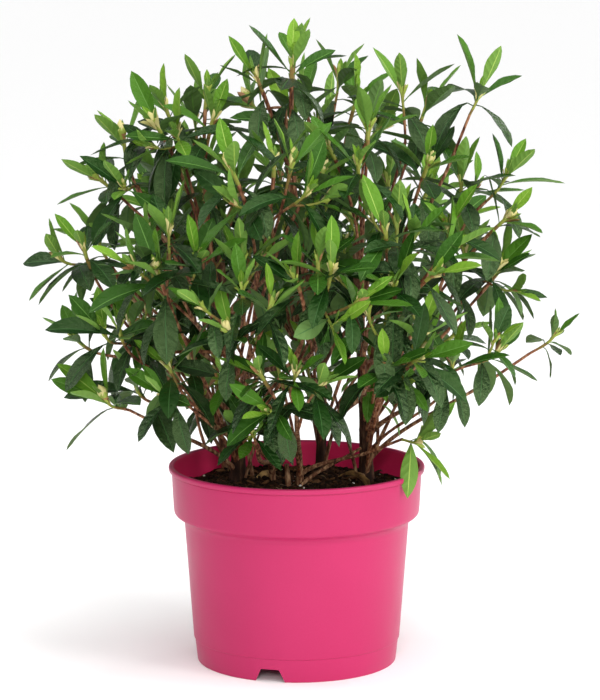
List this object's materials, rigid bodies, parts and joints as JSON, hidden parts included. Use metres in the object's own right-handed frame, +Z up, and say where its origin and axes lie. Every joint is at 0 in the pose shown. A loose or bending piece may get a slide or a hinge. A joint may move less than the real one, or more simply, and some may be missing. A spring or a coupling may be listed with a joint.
{
  "type": "potted azalea shrub",
  "caption": "Evergreen azalea shrub in a round nursery pot: bare forked stems carry an open, rounded crown of leafy shoots, with soil up to the rim.",
  "frame": {"origin": "centre of the pot's flat underside, on the pot's axis", "axes": "+Z up along the pot's axis, -Y towards the viewer, +X to the viewer's right"},
  "size_m": [0.4825, 0.4809, 0.5719],
  "materials": {
    "pot_plastic": "satin",
    "potting_mix": "matte",
    "bark": "matte",
    "foliage": "satin"
  },
  "bodies": {
    "root": {"bough_front": "bark", "bough_front_left": "bark", "bough_left_front": "bark", "bough_left_front_low": "bark", "bough_left_high": "bark", "bough_left_low": "bark", "bough_left_middle": "bark", "bough_left_tip": "bark", "bough_low_right": "bark", "bough_rear_left_high": "bark", "bough_rear_middle": "bark", "bough_rear_right_high": "bark", "bough_rear_right_low": "bark", "bough_right_front_high": "bark", "bough_right_front_low": "bark", "bough_right_high": "bark", "bough_right_low": "bark", "bough_right_middle": "bark", "bough_right_tip": "bark", "bough_top_front": "bark", "bough_top_middle": "bark", "bough_top_right": "bark", "bough_top_right_tip": "bark", "foliage_front": "foliage", "foliage_front_left": "foliage", "foliage_left_front": "foliage", "foliage_left_front_low": "foliage", "foliage_left_high": "foliage", "foliage_left_low": "foliage", "foliage_left_middle": "foliage", "foliage_left_tip": "foliage", "foliage_low_front": "foliage", "foliage_low_middle": "foliage", "foliage_low_right": "foliage", "foliage_rear_left_high": "foliage", "foliage_rear_left_low": "foliage", "foliage_rear_middle": "foliage", "foliage_rear_right_high": "foliage", "foliage_rear_right_low": "foliage", "foliage_right_front_high": "foliage", "foliage_right_front_low": "foliage", "foliage_right_high": "foliage", "foliage_right_low": "foliage", "foliage_right_middle": "foliage", "foliage_right_tip": "foliage", "foliage_top_back": "foliage", "foliage_top_front": "foliage", "foliage_top_left": "foliage", "foliage_top_middle": "foliage", "foliage_top_right": "foliage", "foliage_top_right_tip": "foliage", "foliage_upper_front": "foliage", "pot": "pot_plastic", "root_ball": "potting_mix", "stem_back": "bark", "stem_front": "bark", "stem_left": "bark", "stem_middle": "bark", "stem_rear_left": "bark", "stem_right": "bark"}
  },
  "joints": []
}
